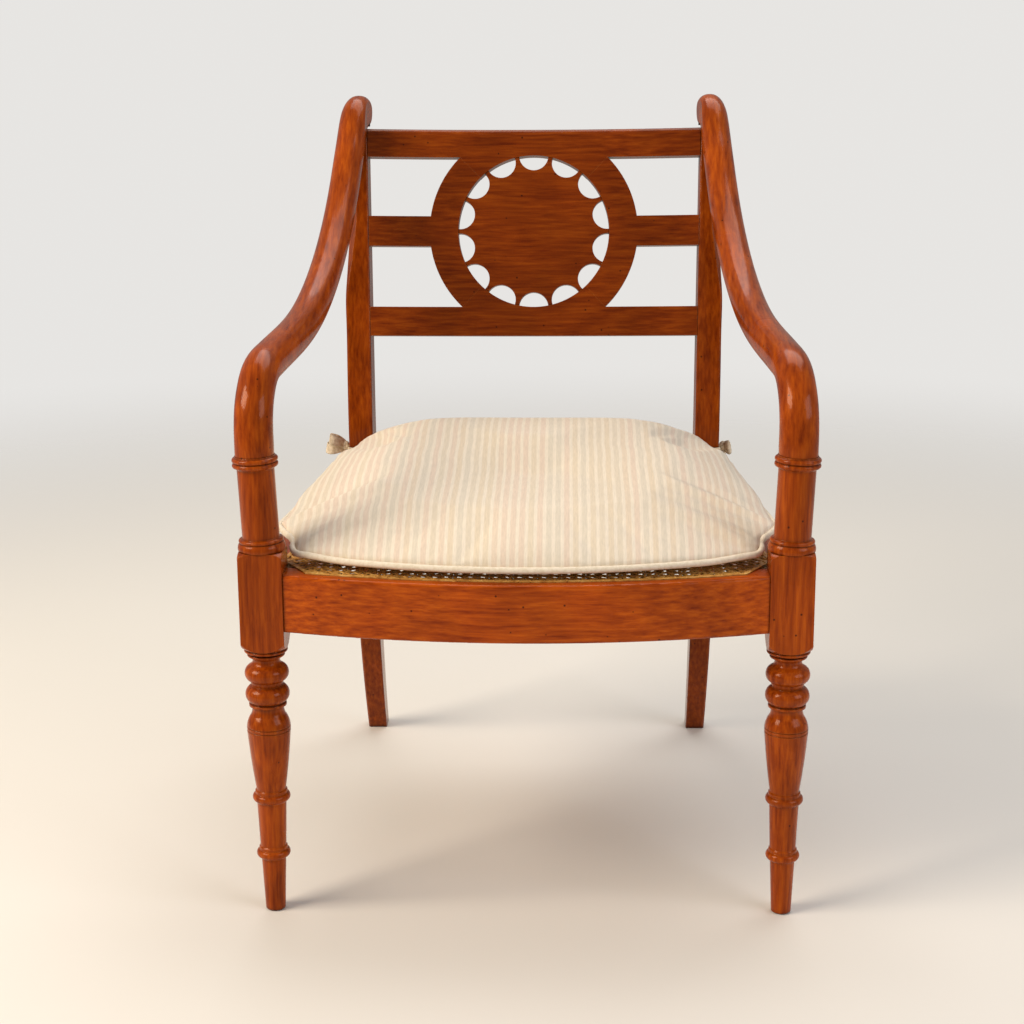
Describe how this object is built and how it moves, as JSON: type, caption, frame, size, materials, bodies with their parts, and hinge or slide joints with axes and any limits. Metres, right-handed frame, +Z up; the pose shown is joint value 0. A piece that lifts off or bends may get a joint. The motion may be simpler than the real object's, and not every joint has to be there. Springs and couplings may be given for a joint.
{
  "type": "armchair",
  "caption": "Wheelback wooden armchair with turned front legs, swept arms, a caned seat and a tied loose cushion with a piped edge.",
  "frame": {"origin": "on the floor, at the middle of the chair's overall width and depth", "axes": "+X to the right as seen from the front, +Y to the back, +Z up"},
  "size_m": [0.6068, 0.644, 0.8484],
  "materials": {
    "mahogany": "polished, worn",
    "beech": "sawn, unpolished",
    "dark_peg": "polished",
    "steel": "dull",
    "cane": "varnished weave",
    "striped_cotton": "woven stripe",
    "cream_piping": "plain weave",
    "filling": "soft"
  },
  "bodies": {
    "chair_frame": {"arm_left": "mahogany", "arm_pegs": "dark_peg", "arm_right": "mahogany", "arm_support_left": "mahogany", "arm_support_right": "mahogany", "back_post_left": "mahogany", "back_post_right": "mahogany", "back_seat_rail": "mahogany", "cane_binder": "cane", "cane_panel": "cane", "corner_block_screws": "steel", "crest_rail": "mahogany", "cushion_tie_left": "striped_cotton", "cushion_tie_right": "striped_cotton", "front_corner_block_left": "beech", "front_corner_block_right": "beech", "front_leg_left": "mahogany", "front_leg_right": "mahogany", "front_seat_rail": "mahogany", "lower_back_rail": "mahogany", "middle_back_rail_left": "mahogany", "middle_back_rail_right": "mahogany", "rear_corner_block_left": "beech", "rear_corner_block_right": "beech", "side_seat_rail_left": "mahogany", "side_seat_rail_right": "mahogany", "wheel_disc": "mahogany", "wheel_dowels": "beech"},
    "seat_cushion": {"cushion_core": "filling", "cushion_cover": "striped_cotton", "cushion_welt": "cream_piping"}
  },
  "joints": [
    {"name": "cushion_lift", "type": "hinge", "parent": "chair_frame", "child": "seat_cushion", "pos_m": [0, 0.1845, 0.42], "axis": [-1, 0, 0], "range_deg": [0, 18]}
  ]
}
